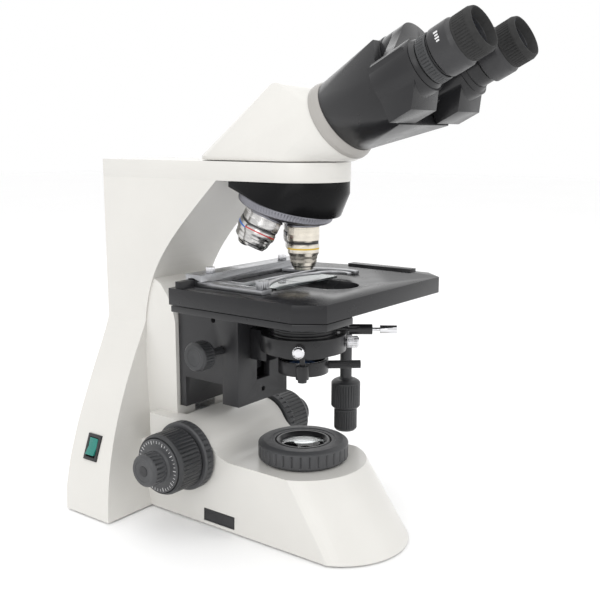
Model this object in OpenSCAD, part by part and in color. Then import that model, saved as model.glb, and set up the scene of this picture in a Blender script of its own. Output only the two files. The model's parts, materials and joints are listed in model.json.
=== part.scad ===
// Laboratory compound microscope with a reversed nosepiece, a two-layer
// mechanical stage, a focusing condenser and a folding binocular head.
// X is to the user's right, Y runs away from the user, Z is up. Millimetres.
// Every distance along Y below is measured from the optical axis.

/* [Base and arm] */

// Half-width of the base at the table
base_half_w = 48.5; // [44:0.5:54]
// Half-width of the base at its deck
deck_half_w = 46.2; // [42:0.1:52]
// Radius of the rounded front of the base at the table
base_front_r = 53.6; // [48:0.1:60]
// Distance the front arc sits ahead of the optical axis at the table
base_front_off = 35; // [20:0.5:45]
// Radius of the rounded front of the deck
deck_front_r = 50; // [46:0.5:56]
// Height of the deck above the table
deck_z = 56.7; // [50:0.1:64]
// Half-width of the flared foot at the table
foot_half_w = 96; // [80:0.5:97]
// Height at which the flare of the foot begins
flare_z = 149; // [120:1:165]
// Half-width of the arm
arm_half_w = 35.5; // [30:0.1:40]
// Distance from the optical axis to the rear face of the arm
arm_rear = 183.5; // [170:0.5:195]
// Height of the seam under the top plate
seam_z = 273.6; // [265:0.1:280]
// Height of the upper face of the top plate
plate_z = 287.9; // [280:0.1:295]
// Gap between the feet and the underside of the casting
foot_gap = 1.5; // [1:0.1:4]

/* [Focus] */

// Distance from the optical axis to the focus shaft
focus_y = 78.6; // [70:0.1:90]
// Height of the focus shaft
focus_z = 56.2; // [50:0.1:62]
// Radius of the hump that carries the focus shaft
hump_r = 25; // [22:0.5:28]
// Radius of the adjusting rings next to the stand
ring_r = 27.7; // [25:0.1:30]
// Radius of the coarse knobs
coarse_r = 24.2; // [20:0.1:26]
// Radius of the fine knobs
fine_r = 13; // [10:0.5:16]
// Distance from the middle to the outer face of a fine knob
fine_reach = 98; // [96:0.5:104]

/* [Stage] */

// Height of the upper face of the stage
stage_z = 197.6; // [190:0.1:205]
// Thickness of the upper stage plate
stage_t = 12.4; // [8:0.1:15]
// Distance from the optical axis to the front edge of the stage
stage_front = 72; // [60:0.5:80]
// Distance from the optical axis to the rear edge of the stage
stage_rear = 60.5; // [55:0.5:66]
// Distance from the middle to the left edge of the stage
stage_left = 83.5; // [75:0.5:90]
// Distance from the middle to the right edge of the stage
stage_right = 97.5; // [80:0.5:98]

/* [Condenser] */

// Outer radius of the condenser body
cond_r = 26; // [22:0.5:30]
// Height of the focus knob of the condenser
cond_knob_z = 141; // [130:1:150]
// Distance from the optical axis to the condenser focus knob
cond_knob_y = 58; // [52:0.5:64]

/* [Nosepiece] */

// Tilt of the turret axis from the vertical in degrees
turret_tilt = 18; // [10:0.5:25]
// Distance from the turret axis to the shoulder of each objective
objective_ring = 20; // [16:0.5:26]
// Height of the shoulder of the objective in use
shoulder_z = 240.9; // [235:0.1:246]
// Outer radius of the turret
turret_r = 37; // [32:0.5:40]

/* [Binocular head] */

// Slope of the viewing tubes above the horizontal in degrees
head_tilt = 27; // [20:0.5:45]
// Distance from the optical axis forward to the start of the tube body
head_y = 56; // [45:0.5:65]
// Height of the start of the tube body
head_z = 324; // [315:0.5:335]
// Half of the distance between the two eyepieces
eye_half = 31; // [27:0.5:36]
// Distance along the head from the tube body to the eyepiece rims
eye_reach = 112; // [100:1:125]

/* [Hidden] */
$fn = 48;
eps = 0.01;
gap = 0.3;
front_reach = head_y + eye_reach * cos(head_tilt) + (4.5 + 16) * sin(head_tilt);
axis_y = -(arm_rear - front_reach) / 2;
focus_reach = fine_reach - 16;
focus_pinion = 6.3;
cond_pinion = 5;
turret_y = objective_ring * cos(turret_tilt);
turret_z = shoulder_z + objective_ring * sin(turret_tilt);
rim_z = 13.4;
fold_r = 36;
fold_v = 13.8;
fold_a = acos(eye_half / fold_r);
eye_v = fold_v - fold_r * sin(fold_a);
layer_0 = 37.5;
layer_1 = 46;
layer_2 = 46.4;
layer_3 = 68;
hinge_top = 55;
tube_disc_r = 18.5;
col_front = 104.6;
col_half = 34;
bracket_half = 30.5;
black = [0.2, 0.2, 0.2];
white = [0.92, 0.91, 0.88];
steel = [0.72, 0.73, 0.75];
chrome_c = [0.8, 0.82, 0.86];
brass_c = [0.78, 0.62, 0.3];
glass_c = [0.75, 0.85, 0.9];
rubber_c = [0.12, 0.12, 0.12];

// ---------- shared helpers ----------

// Moves a part drawn about the optical axis into the frame of the model.
module on_axis() {
  translate([0, axis_y, 0]) children();
}

// Rod along X from x0 to x1 at (y, z).
module rod_x(r, x0, x1, y, z) {
  translate([x0, y, z]) rotate([0, 90, 0]) cylinder(r = r, h = x1 - x0);
}

// Box from its lowest corner to its highest corner.
module box(a, b) {
  translate(a) cube(b - a);
}

// Solid whose outline lies in the YZ plane, from x0 to x1.
module side_sweep(x0, x1) {
  translate([x0, 0, 0])
    rotate([90, 0, 90])
      linear_extrude(x1 - x0) children();
}

// Solid whose outline lies in the XZ plane, from y0 to y1.
module front_sweep(y0, y1) {
  translate([0, y1, 0])
    rotate([90, 0, 0])
      linear_extrude(y1 - y0) children();
}

// Knob body along +Z with grip flutes around its rim.
module fluted(r, h, n, flute) {
  difference() {
    cylinder(r = r, h = h);
    for (i = [0 : n - 1])
      rotate(i * 360 / n)
        translate([r + flute * 0.35, 0, -1])
          cylinder(r = flute, h = h + 2);
  }
}

// Frame of the binocular head: Z along the tubes, Y up across them.
module head_frame() {
  translate([0, -head_y, head_z]) rotate([90 - head_tilt, 0, 0]) children();
}

// Frame of the joint between the head housing and the tube body.
module joint_frame() {
  head_frame() translate([0, 5, -17]) rotate([-5, 0, 0]) children();
}

// Frame of the turret: Z along its axis.
module turret_frame() {
  translate([0, turret_y, turret_z]) rotate([turret_tilt, 0, 0]) children();
}

// ---------- base and arm ----------

// Outline of the base at one height.
module base_outline(half_w, front_r, off) {
  intersection() {
    union() {
      translate([0, -off]) circle(r = front_r, $fn = 96);
      translate([-half_w, -off]) square([2 * half_w, 140 + off]);
    }
    translate([-half_w, -200]) square([2 * half_w, 400]);
  }
}

module base_block() {
  hull() {
    translate([0, 0, foot_gap])
      linear_extrude(0.5) base_outline(base_half_w, base_front_r, base_front_off);
    translate([0, 0, deck_z - 0.5])
      linear_extrude(0.5) base_outline(deck_half_w, deck_front_r, 0);
  }
}

// Points of a circular arc in a plane.
function arc(cx, cy, r, a0, a1, n) =
  [for (i = [0 : n]) [cx + r * cos(a0 + (a1 - a0) * i / n), cy + r * sin(a0 + (a1 - a0) * i / n)]];

// Points along a cubic curve with the four control points in p.
function curve(p, first, n) =
  [for (i = [first : n])
    let (t = i / n, u = 1 - t)
      u * u * u * p[0] + 3 * t * u * u * p[1] + 3 * t * t * u * p[2] + t * t * t * p[3]];

// Concave saddle between the deck and the hump, and the hump itself.
module hump_profile() {
  saddle_r = 24;
  saddle_y = focus_y - sqrt((saddle_r + hump_r) * (saddle_r + hump_r)
    - (saddle_r + deck_z - focus_z) * (saddle_r + deck_z - focus_z));
  touch = atan2(saddle_r + deck_z - focus_z, focus_y - saddle_y);
  polygon(concat(
    [[col_front + 20, 20], [saddle_y, 20]],
    arc(saddle_y, deck_z + saddle_r, saddle_r, -90, -touch, 10),
    arc(focus_y, focus_z, hump_r, 180 - touch, 90, 12),
    [[col_front + 20, focus_z + hump_r]]
  ));
}

// Side outline of the arm: a C that reaches forward at the top.
module arm_profile() {
  waist = [139.6, 118];
  polygon(concat(
    [[arm_rear, seam_z], [arm_rear, 70], [arm_rear - 1.2, 40], [arm_rear - 4, 18], [arm_rear - 9, foot_gap]],
    curve([[123, foot_gap], [134.7, 37.1], [139.4, 77.7], waist], 0, 10),
    curve([waist, [139.9, 193.5], [123.9, 210.9], [56, seam_z]], 1, 16)
  ));
}

// Front outline of the arm with its flared foot.
module flare_profile() {
  flare = [[arm_half_w, flare_z + 6], [40.1, 136.5], [75.3, 79.8], [foot_half_w, foot_gap]];
  right = concat([[arm_half_w, seam_z + 5]], curve(flare, 0, 14));
  n = len(right);
  polygon(concat(right, [for (i = [n - 1 : -1 : 0]) [-right[i][0], right[i][1]]]));
}

// Column that guides the focusing slide, blended into the arm.
module column() {
  side_sweep(-col_half, col_half)
    polygon([
      [col_front, 60], [col_front, 158], [107, 168], [112, 178], [120, 188],
      [136, 196], [150, 196], [150, 30], [col_front, 30]
    ]);
}

module stand_casting() {
  color(white)
    on_axis()
      difference() {
        union() {
          base_block();
          side_sweep(-deck_half_w, deck_half_w) hump_profile();
          intersection() {
            side_sweep(-120, 120) arm_profile();
            front_sweep(40, 200) flare_profile();
          }
          column();
        }
        stand_hollows();
        stand_holes();
      }
}

// Hollow inside of the base and the arm.
module stand_hollows() {
  box([-40, -8, -1], [40, 132, 46]);
  translate([0, -8, -1]) cylinder(r = 40, h = 47, $fn = 64);
  box([-78, 137, -1], [78, arm_rear - 14, 30]);
  // rebate of the base plate
  translate([0, 0, foot_gap - 1]) linear_extrude(3.2) floor_outline(0.3);
  box([-27, 142, 20], [27, arm_rear - 5, 262]);
  // guide pocket of the focusing slide
  box([-15, col_front + 1.3, 6], [15, 121, 182]);
  box([-6.2, 84, 6], [6.2, 107, 78.8]);
  box([-12.4, col_front - 1, 78], [12.4, col_front + 2, 162]);
  // clearance for the lower end of the stage bracket
  box([-31.2, 96.9, 65], [31.2, col_front + 0.5, 90]);
}

// Bores and seats in the casting.
module stand_holes() {
  rod_x(9.05, -60, 60, focus_y, focus_z);
  translate([0, 0, deck_z - 20]) cylinder(r = 24.05, h = 40, $fn = 64);
  // switch pocket in the left flank and dial bore in the right flank
  switch_frame() {
    box([-20, -6.7, -9.7], [20, 6.7, 9.7]);
    box([-20, -8.1, -11.1], [0.3, 8.1, 11.1]);
  }
  rod_x(4.05, 30, 100, 152, 45);
  rod_x(11.6, 80.4, 110, 152, 45);
  // power inlet in the rear face
  box([-14.1, arm_rear - 20, 30], [14.1, arm_rear + 5, 50.2]);
  // tapped holes for the base plate
  for (p = plate_screws) translate([p[0], p[1], -1]) cylinder(r = 1.7, h = 12, $fn = 24);
  // tapped holes for the top plate
  for (y = [100, 165]) for (x = [-22, 22])
    translate([x, y, seam_z - 14]) cylinder(r = 2.2, h = 20, $fn = 24);
  // recess of the badge
  translate([-base_half_w, badge_y, badge_z]) rotate([0, badge_lean, 0])
    box([-3, -16.2, -5.2], [1.2, 16.2, 5.2]);
}

badge_y = 47;
badge_z = 9.2;
badge_lean = atan2(base_half_w - deck_half_w, deck_z);
plate_screws = [[-42.2, -30], [42.2, -30], [-42.2, 100], [42.2, 100]];

// Outline of the floor plate, grown by a clearance.
module floor_outline(grow) {
  union() {
    intersection() {
      translate([0, -base_front_off]) circle(r = 49 + grow, $fn = 80);
      translate([-44.5 - grow, -100]) square([89 + 2 * grow, 90]);
    }
    translate([-44.5 - grow, -30]) square([89 + 2 * grow, 160]);
    translate([-89 - grow, 128 - grow]) square([178 + 2 * grow, 38 + 2 * grow]);
  }
}

module base_plate() {
  color(steel)
    on_axis()
      difference() {
        translate([0, 0, foot_gap + 0.2]) linear_extrude(2) floor_outline(0);
        for (x = [-30 : 10 : 30])
          box([x - 1.5, 20, 0], [x + 1.5, 60, 6]);
        for (p = plate_screws)
          translate([p[0], p[1], 0]) cylinder(r = 2, h = 8, $fn = 24);
      }
}

foot_spots = [[-34, -44], [34, -44], [-72, 136], [72, 136]];

module rubber_feet() {
  color(rubber_c)
    on_axis()
      for (p = foot_spots)
        translate([p[0], p[1], 0])
          union() {
            cylinder(r1 = 6.4, r2 = 7, h = 1.6, $fn = 40);
            cylinder(r = 3, h = foot_gap + 0.2, $fn = 32);
          }
}

// Outline of the top plate seen from above.
module plate_outline(inset) {
  union() {
    circle(r = arm_half_w - inset, $fn = 80);
    translate([-arm_half_w + inset, 0])
      square([2 * (arm_half_w - inset), arm_rear - inset]);
  }
}

module top_plate() {
  color(white)
    on_axis()
      difference() {
        translate([0, 0, seam_z]) linear_extrude(plate_z - seam_z) plate_outline(0);
        translate([0, 0, seam_z - 1]) cylinder(r = 19, h = 30, $fn = 64);
        // seat of the head dovetail
        translate([0, 0, plate_z - 5]) cylinder(r = 27, h = 6, $fn = 64);
        // hole of the head clamping screw
        rod_x(2.05, 20, 40, 0, plate_z - 7);
        for (y = [100, 165]) for (x = [-22, 22])
          translate([x, y, seam_z - 1]) cylinder(r = 2, h = 10, $fn = 24);
      }
}

module name_badge() {
  color(black)
    on_axis()
      translate([-base_half_w, badge_y, badge_z]) rotate([0, badge_lean, 0])
        difference() {
          box([0.1, -15.9, -4.9], [1.1, 15.9, 4.9]);
          box([-0.2, -14.9, -3.9], [0.4, 14.9, 3.9]);
        }
}

// ---------- illumination ----------

module field_lens_tube() {
  color(black)
    on_axis()
      difference() {
        union() {
          translate([0, 0, 38]) cylinder(r = 24, h = deck_z - 38, $fn = 64);
          translate([0, 0, deck_z + 0.2]) cylinder(r = 22, h = 15, $fn = 64);
          translate([0, 0, deck_z - 1]) cylinder(r = 22, h = 2, $fn = 64);
        }
        translate([0, 0, 30]) cylinder(r = 15, h = 60, $fn = 64);
        translate([0, 0, deck_z + 11]) cylinder(r = 17.05, h = 10, $fn = 64);
        translate([0, 0, deck_z + 13.4])
          rotate_extrude($fn = 64) polygon([[17, 0], [19, 2], [17, 2]]);
      }
}

module field_lens() {
  color(glass_c)
    on_axis()
      translate([0, 0, deck_z + 11])
        intersection() {
          cylinder(r = 17, h = 6, $fn = 64);
          translate([0, 0, -52]) sphere(r = 56, $fn = 96);
        }
}

module field_ring() {
  color(black)
    on_axis()
      translate([0, 0, deck_z + 0.5])
        difference() {
          union() {
            translate([0, 0, 1.5]) fluted(35.5, 11.5, 30, 1.6);
            cylinder(r1 = 33, r2 = 34.5, h = 1.5, $fn = 64);
            translate([0, 0, 13]) cylinder(r1 = 34, r2 = 31, h = 2.2, $fn = 64);
          }
          translate([0, 0, -1]) cylinder(r = 22.06, h = 20, $fn = 64);
        }
}

module lamp_mirror() {
  color(chrome_c)
    on_axis()
      translate([0, 0, 24])
        rotate([45, 0, 0])
          union() {
            box([-13, -17, -1], [13, 17, 1]);
            box([-15, -19, -3], [15, 19, -1]);
          }
}

lamp_y = 40;

module lamp_socket() {
  color([0.85, 0.84, 0.8])
    on_axis()
      difference() {
        union() {
          translate([0, lamp_y + 30, 24]) rotate([90, 0, 0]) cylinder(r = 11, h = 22, $fn = 48);
          box([-14, lamp_y + 20, foot_gap + 2.2], [14, lamp_y + 30, 24]);
        }
        translate([0, lamp_y + 16, 24]) rotate([90, 0, 0]) cylinder(r = 8, h = 20, $fn = 40);
        for (x = [-3.2, 3.2])
          translate([x, lamp_y + 31, 24]) rotate([90, 0, 0]) cylinder(r = 1, h = 20, $fn = 24);
      }
}

module lamp_bulb() {
  color(glass_c)
    on_axis()
      union() {
        translate([0, lamp_y, 24]) rotate([-90, 0, 0]) cylinder(r = 5.5, h = 14, $fn = 40);
        translate([0, lamp_y, 24]) sphere(r = 5.5, $fn = 40);
        translate([0, lamp_y + 13.5, 24]) rotate([-90, 0, 0]) cylinder(r = 4.5, h = 2.3, $fn = 40);
        for (x = [-3.2, 3.2])
          translate([x, lamp_y + 14, 24]) rotate([-90, 0, 0]) cylinder(r = 0.97, h = 10, $fn = 24);
      }
}

// Frame of the power switch on the sloping left flank.
module switch_frame() {
  translate([-79.3, 158, 53]) rotate([0, 20.4, 0]) children();
}

module power_bezel() {
  color(black)
    on_axis()
      switch_frame()
        difference() {
          union() {
            box([-1.3, -7.8, -10.8], [0.25, 7.8, 10.8]);
            box([0.2, -6.4, -9.4], [12, 6.4, 9.4]);
          }
          box([-3, -5.2, -8.2], [9, 5.2, 8.2]);
          translate([3, -7, 0]) rotate([-90, 0, 0]) cylinder(r = 1.25, h = 14, $fn = 32);
        }
}

module power_rocker() {
  color([0.16, 0.5, 0.45])
    on_axis()
      switch_frame()
        union() {
          translate([3, -4.8, 0])
            rotate([-90, 0, 0])
              linear_extrude(9.6)
                rotate(6)
                  polygon([[-5.4, -7.2], [-4.2, 0], [-5.4, 7.2], [2.4, 4.6], [2.4, -4.6]]);
          translate([3, -6.3, 0]) rotate([-90, 0, 0]) cylinder(r = 1.2, h = 12.6, $fn = 32);
        }
}

module power_inlet() {
  color(black)
    on_axis()
      difference() {
        box([-14, arm_rear - 19, 30.1], [14, arm_rear + 0, 50.1]);
        box([-11.5, arm_rear - 14, 32], [11.5, arm_rear + 1, 48]);
        for (x = [-7, 0, 7])
          box([x - 1, arm_rear - 20, 38], [x + 1, arm_rear - 12, 42]);
      }
}

module circuit_board() {
  color([0.15, 0.4, 0.25])
    on_axis()
      union() {
        box([-60, 141, 6], [60, 166, 7.6]);
        box([-50, 143, 7.5], [-28, 160, 27]);
        translate([-12, 152, 7.5]) cylinder(r = 6, h = 18, $fn = 32);
        box([18, 144, 7.5], [34, 158, 18]);
        for (p = [[-56, 145], [56, 145], [-56, 162], [56, 162]])
          translate([p[0], p[1], foot_gap + 2.2]) cylinder(r = 2, h = 2.6, $fn = 24);
      }
}

module brightness_dial() {
  color(black)
    on_axis()
      union() {
        translate([80.8, 152, 45]) rotate([0, 90, 0]) fluted(11, 9.6, 20, 0.9);
        rod_x(4, 62, 84, 152, 45);
      }
}

// ---------- coarse and fine focus ----------

module coarse_shaft() {
  color(steel)
    on_axis()
      difference() {
        union() {
          rod_x(9, -64, -8, focus_y, focus_z);
          rod_x(9, 8, 64, focus_y, focus_z);
          rod_x(focus_pinion - 0.7, -8.5, 8.5, focus_y, focus_z);
          translate([-6, focus_y, focus_z]) rotate([0, 90, 0]) gear_teeth(focus_pinion, 12, 24);
        }
        rod_x(4.06, -70, 70, focus_y, focus_z);
      }
}

// Simple wedge teeth of a pinion.
module gear_teeth(r, h, n) {
  for (i = [0 : n - 1])
    rotate(i * 360 / n)
      linear_extrude(h)
        polygon([[r - 1.2, -0.5], [r + 0.4, -0.2], [r + 0.4, 0.2], [r - 1.2, 0.5]]);
}

// Knob of one side, drawn with its inner face at z = 0 and growing outward.
module coarse_knob(outer) {
  difference() {
    union() {
      fluted(coarse_r, outer - 2, 40, 0.8);
      translate([0, 0, outer - 2.01]) cylinder(r1 = coarse_r - 0.3, r2 = coarse_r - 1.6, h = 2.01);
    }
    translate([0, 0, outer - 5]) cylinder(r = 21.8, h = 10, $fn = 64);
    translate([0, 0, -1]) cylinder(r = 9, h = 8.7);
    translate([0, 0, -1]) cylinder(r = 5, h = 60);
  }
}

knob_in = 47.9;
ring_w = 9;

module knob_side(side) {
  translate([side * (knob_in + ring_w + 0.4), focus_y, focus_z])
    rotate([0, side * 90, 0]) children();
}

module coarse_knob_left() {
  color(black) on_axis() knob_side(-1) coarse_knob(24);
}

module coarse_knob_right() {
  color(black) on_axis() knob_side(1) coarse_knob(24);
}

// Adjusting ring next to the stand, drawn growing outward.
module adjusting_ring(n) {
  difference() {
    fluted(ring_r, ring_w, n, 1.1);
    translate([0, 0, -1]) cylinder(r = 9.06, h = 20);
    translate([0, 0, ring_w - 1.4]) cylinder(r = 22, h = 2, $fn = 64);
  }
}

module tension_ring() {
  color(black)
    on_axis()
      translate([-knob_in, focus_y, focus_z]) rotate([0, -90, 0]) adjusting_ring(36);
}

module limit_ring() {
  color(black)
    on_axis()
      translate([knob_in, focus_y, focus_z]) rotate([0, 90, 0]) adjusting_ring(36);
}

module fine_shaft() {
  color(steel)
    on_axis() rod_x(4, -84, 84, focus_y, focus_z);
}

// Fine knob with a graduated skirt, drawn growing outward from the coarse knob.
module fine_knob(skirt) {
  difference() {
    union() {
      fluted(fine_r, skirt, 26, 0.7);
      translate([0, 0, skirt - 0.01]) cylinder(r1 = fine_r - 0.4, r2 = fine_r - 2, h = 1.6);
      translate([0, 0, -2.6]) cylinder(r = 21.3, h = 3.4, $fn = 64);
    }
    translate([0, 0, -4]) cylinder(r = 4, h = 8);
    for (i = [0 : 19])
      rotate(i * 18)
        translate([17.6, -0.35, 0.4])
          cube([i % 2 == 0 ? 4.2 : 2.4, 0.7, 1]);
  }
}

module fine_knob_left() {
  color(black)
    on_axis()
      translate([-focus_reach - 0.2, focus_y, focus_z])
        rotate([0, -90, 0]) fine_knob(fine_reach - focus_reach - 1.8);
}

module fine_knob_right() {
  color(black)
    on_axis()
      translate([focus_reach + 0.2, focus_y, focus_z])
        rotate([0, 90, 0]) fine_knob(fine_reach - focus_reach - 1.8);
}

// Slide in the column with its rack beside the pinion.
module focus_slide() {
  color(steel)
    on_axis()
      union() {
        box([-14.7, col_front + 1.6, 70], [14.7, 120.7, 168]);
        box([-5.5, 90, 62], [5.5, 107, 76]);
        box([-5.5, focus_y + focus_pinion + 0.75, 32], [5.5, 90.2, 77.6]);
        // teeth that face the pinion
        rack_teeth(focus_y + focus_pinion, 1, focus_z, 2 * PI * focus_pinion / 24, -13, 12);
      }
}

// Straight teeth on a flank at y, pointing to -Y when side is 1 and to +Y when it is -1.
module rack_teeth(y, side, z, pitch, first, last) {
  for (i = [first : last])
    translate([-5, y, z + (i + 0.5) * pitch])
      rotate([90, 0, 90])
        linear_extrude(10)
          polygon([
            [side * 1.2, -0.5], [side * -0.4, -0.2],
            [side * -0.4, 0.2], [side * 1.2, 0.5]
          ]);
}

// ---------- stage ----------

module stage_bracket() {
  color(black)
    on_axis()
      difference() {
        union() {
          // plate that hangs on the focusing slide
          box([-bracket_half, 97.4, 87.6], [bracket_half, col_front - 0.3, 175.7]);
          box([-12, col_front - 1, 100], [12, col_front + 1.3, 160]);
          // side walls and front guide
          box([-bracket_half, 46, 113], [-bracket_half + 6, 98, 175.7]);
          box([bracket_half - 6, 46, 113], [bracket_half, 98, 175.7]);
          box([-bracket_half, 40.4, 97], [-8, 46.6, 175.7]);
          box([8, 40.4, 97], [bracket_half, 46.6, 175.7]);
          box([-8.5, 40.4, 97], [8.5, 46.6, 115]);
          box([-bracket_half, 46, 97], [-bracket_half + 6, 57.2, 114]);
          box([bracket_half - 6, 46, 97], [bracket_half, 57.2, 114]);
          // cover behind the guide and the floor between them
          box([-bracket_half, 54.2, 97], [bracket_half, 57.2, 131]);
          box([-bracket_half, 46, 97], [bracket_half, 57, 100.5]);
          box([-bracket_half, 40.4, 169.7], [bracket_half, 98, 175.7]);
        }
        rod_x(3.06, -60, 60, cond_knob_y, cond_knob_z);
        translate([-bracket_half + 7, 66, 164]) rotate([0, -90, 0]) cylinder(r = 2.2, h = 12, $fn = 24);
        translate([0, 39, 106]) rotate([-90, 0, 0]) cylinder(r = 2.1, h = 12, $fn = 24);
        for (x = [-20, 20]) for (y = [56, 86])
          translate([x, y, 168]) cylinder(r = 2, h = 10, $fn = 24);
      }
}

// Lower stage plate, fixed on the bracket.
module stage_base() {
  z0 = 180;
  z1 = stage_z - stage_t - 0.4;
  color(black)
    on_axis()
      difference() {
        union() {
          translate([0, 0, z0])
            linear_extrude(z1 - z0)
              polygon([
                [-stage_left, stage_rear - 2], [-stage_left, -stage_front + 19],
                [-70, -stage_front], [-39, -stage_front], [-36, -36],
                [64, -36], [64, stage_rear - 2]
              ]);
          box([-bracket_half, 40.4, 176], [bracket_half, stage_rear - 2, z0 + 1]);
        }
        translate([0, 0, z0 - 5]) cylinder(r = 32, h = 20, $fn = 64);
        box([-32, -74, z0 - 5], [32, 0, z1 + 1]);
      }
}

// Upper stage plate that carries the slide holder and the drive.
module stage_top() {
  z0 = stage_z - stage_t;
  color(black)
    on_axis()
      difference() {
        union() {
          translate([0, 0, z0])
            linear_extrude(stage_t)
              polygon([
                [-stage_left, stage_rear], [-stage_left, -stage_front + 19],
                [-70, -stage_front], [82, -stage_front],
                [stage_right, -stage_front + 18], [stage_right, 20],
                [stage_right - 8, stage_rear]
              ]);
          // raised strip on the right
          box([stage_right - 9, -42, stage_z - 1], [stage_right, 19, stage_z + 2.4]);
          // rear guide rail of the carriage
          box([-80, 51, stage_z - 1], [86, 57, stage_z + 4.6]);
          // housing of the drop-down controls
          box([65, 2, z0 - 8], [85, 20, z0 + 1]);
          translate([drive_x, drive_y, z0 - 20]) cylinder(r = 7.5, h = 21);
        }
        // opening over the condenser
        translate([0, 0, z0 - 1])
          linear_extrude(stage_t + 2)
            union() {
              translate([0, 8]) circle(r = 19, $fn = 64);
              translate([0, -28]) circle(r = 19, $fn = 64);
              translate([-19, -28]) square([38, 36]);
            }
        translate([drive_x, drive_y, z0 - 30]) cylinder(r = 5.06, h = 34);
        // clearance for the condenser top under the plate
        translate([0, 0, z0 - 1]) cylinder(r = 24, h = 4, $fn = 64);
      }
}

drive_x = 75;
drive_y = 11;
drive_top = 185;

// Upper drop-down knob: moves the stage to and fro.
module stage_drive_knob_y() {
  color(black)
    on_axis()
      difference() {
        union() {
          translate([drive_x, drive_y, 78]) fluted(12.4, 23, 32, 0.8);
          translate([drive_x, drive_y, 100.9]) cylinder(r1 = 12, r2 = 9, h = 1.5);
          translate([drive_x, drive_y, 101]) cylinder(r = 5, h = drive_top - 101);
        }
        translate([drive_x, drive_y, 70]) cylinder(r = 2.56, h = 130, $fn = 32);
      }
}

// Lower drop-down knob: moves the slide carriage from side to side.
module stage_drive_knob_x() {
  color(black)
    on_axis()
      union() {
        translate([drive_x, drive_y, 59]) fluted(9.8, 18.6, 28, 0.8);
        translate([drive_x, drive_y, 57.6]) cylinder(r1 = 8, r2 = 9.4, h = 1.5);
        translate([drive_x, drive_y, 70]) cylinder(r = 2.5, h = drive_top - 69, $fn = 32);
      }
}

// ---------- slide holder ----------

hold_z = 197.9;

module slide_carriage() {
  color(chrome_c)
    on_axis()
      difference() {
        union() {
          // shoe on the rear rail
          box([-66, 44.4, hold_z], [60, 50.7, hold_z + 8]);
          box([-66, 44.4, hold_z + 5], [60, 60, hold_z + 8]);
          box([-66, 57.3, hold_z], [60, 60, hold_z + 8]);
          // left arm with the finger pivot
          box([-68, -15, hold_z], [-57, 46, hold_z + 3.2]);
          // right arm with its curved jaw
          intersection() {
            translate([4, -6, hold_z])
              difference() {
                cylinder(r = 52, h = 3, $fn = 96);
                translate([0, 0, -1]) cylinder(r = 46, h = 5, $fn = 96);
              }
            box([38.6, -14, hold_z - 1], [70, 46, hold_z + 4]);
          }
          box([36, 26, hold_z], [43, 46, hold_z + 3]);
          // back stop of the slide
          box([-50, 17.4, hold_z], [40, 20.4, hold_z + 2.6]);
          box([-52, 17.4, hold_z], [-46, 46, hold_z + 2.6]);
          box([30, 17.4, hold_z], [36, 46, hold_z + 2.6]);
        }
        translate([-62.5, -11, hold_z - 1]) cylinder(r = 2.06, h = 6, $fn = 32);
        for (x = [-52, 34])
          translate([x, 47.6, hold_z + 1]) cylinder(r = 1.6, h = 9, $fn = 24);
      }
}

module slide_holder_screws() {
  color(chrome_c)
    on_axis()
      for (x = [-52, 34])
        union() {
          translate([x, 47.6, hold_z + 3]) cylinder(r = 1.58, h = 6, $fn = 24);
          translate([x, 47.6, hold_z + 8.2]) fluted(3.6, 4.4, 16, 0.5);
        }
}

// Sprung finger that presses the slide against the back stop.
module slide_finger() {
  color(chrome_c)
    on_axis()
      union() {
        translate([-62.5, -11, hold_z + 0.5]) cylinder(r = 2, h = 5, $fn = 32);
        translate([-62.5, -11, hold_z + 5.4]) fluted(4.6, 4, 18, 0.5);
        translate([-62.5, -11, hold_z + 3.5]) cylinder(r = 4.4, h = 2, $fn = 32);
        // curved blade
        intersection() {
          translate([-14, -68, hold_z + 3.5])
            difference() {
              cylinder(r = 74, h = 1.6, $fn = 128);
              translate([0, 0, -1]) cylinder(r = 70, h = 4, $fn = 128);
            }
          box([-63, -16, hold_z], [16, 10, hold_z + 8]);
        }
        intersection() {
          translate([16.2, -15.5, hold_z + 3.5])
            difference() {
              cylinder(r = 15.8, h = 1.6, $fn = 64);
              translate([0, 0, -1]) cylinder(r = 12, h = 4, $fn = 64);
            }
          box([14, -24, hold_z], [40, 10, hold_z + 8]);
        }
      }
}

module glass_slide() {
  color(glass_c)
    on_axis()
      union() {
        box([-44, -9, stage_z + 0.05], [32, 17, stage_z + 1.15]);
        box([-11, -7, stage_z + 1.1], [11, 15, stage_z + 1.3]);
      }
}

// ---------- condenser ----------

module condenser_carrier() {
  color(black)
    on_axis()
      difference() {
        union() {
          translate([0, 0, 145]) cylinder(r = 33, h = 13, $fn = 64);
          box([-16, 24, 134], [16, 40, 158]);
          // rack that passes through the front guide
          box([-5.5, 39, 134], [5.5, 48, 162]);
          box([-5.5, 47, 122], [5.5, cond_knob_y - cond_pinion - 0.75, 162]);
          rack_teeth(cond_knob_y - cond_pinion, -1, cond_knob_z, 2 * PI * cond_pinion / 20, -12, 12);
        }
        translate([0, 0, 140]) cylinder(r = 26.05, h = 30, $fn = 64);
        for (a = cond_screw_a)
          rotate(a) translate([20, 0, 151.5]) rotate([0, 90, 0]) cylinder(r = 2.05, h = 20, $fn = 24);
      }
}

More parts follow.
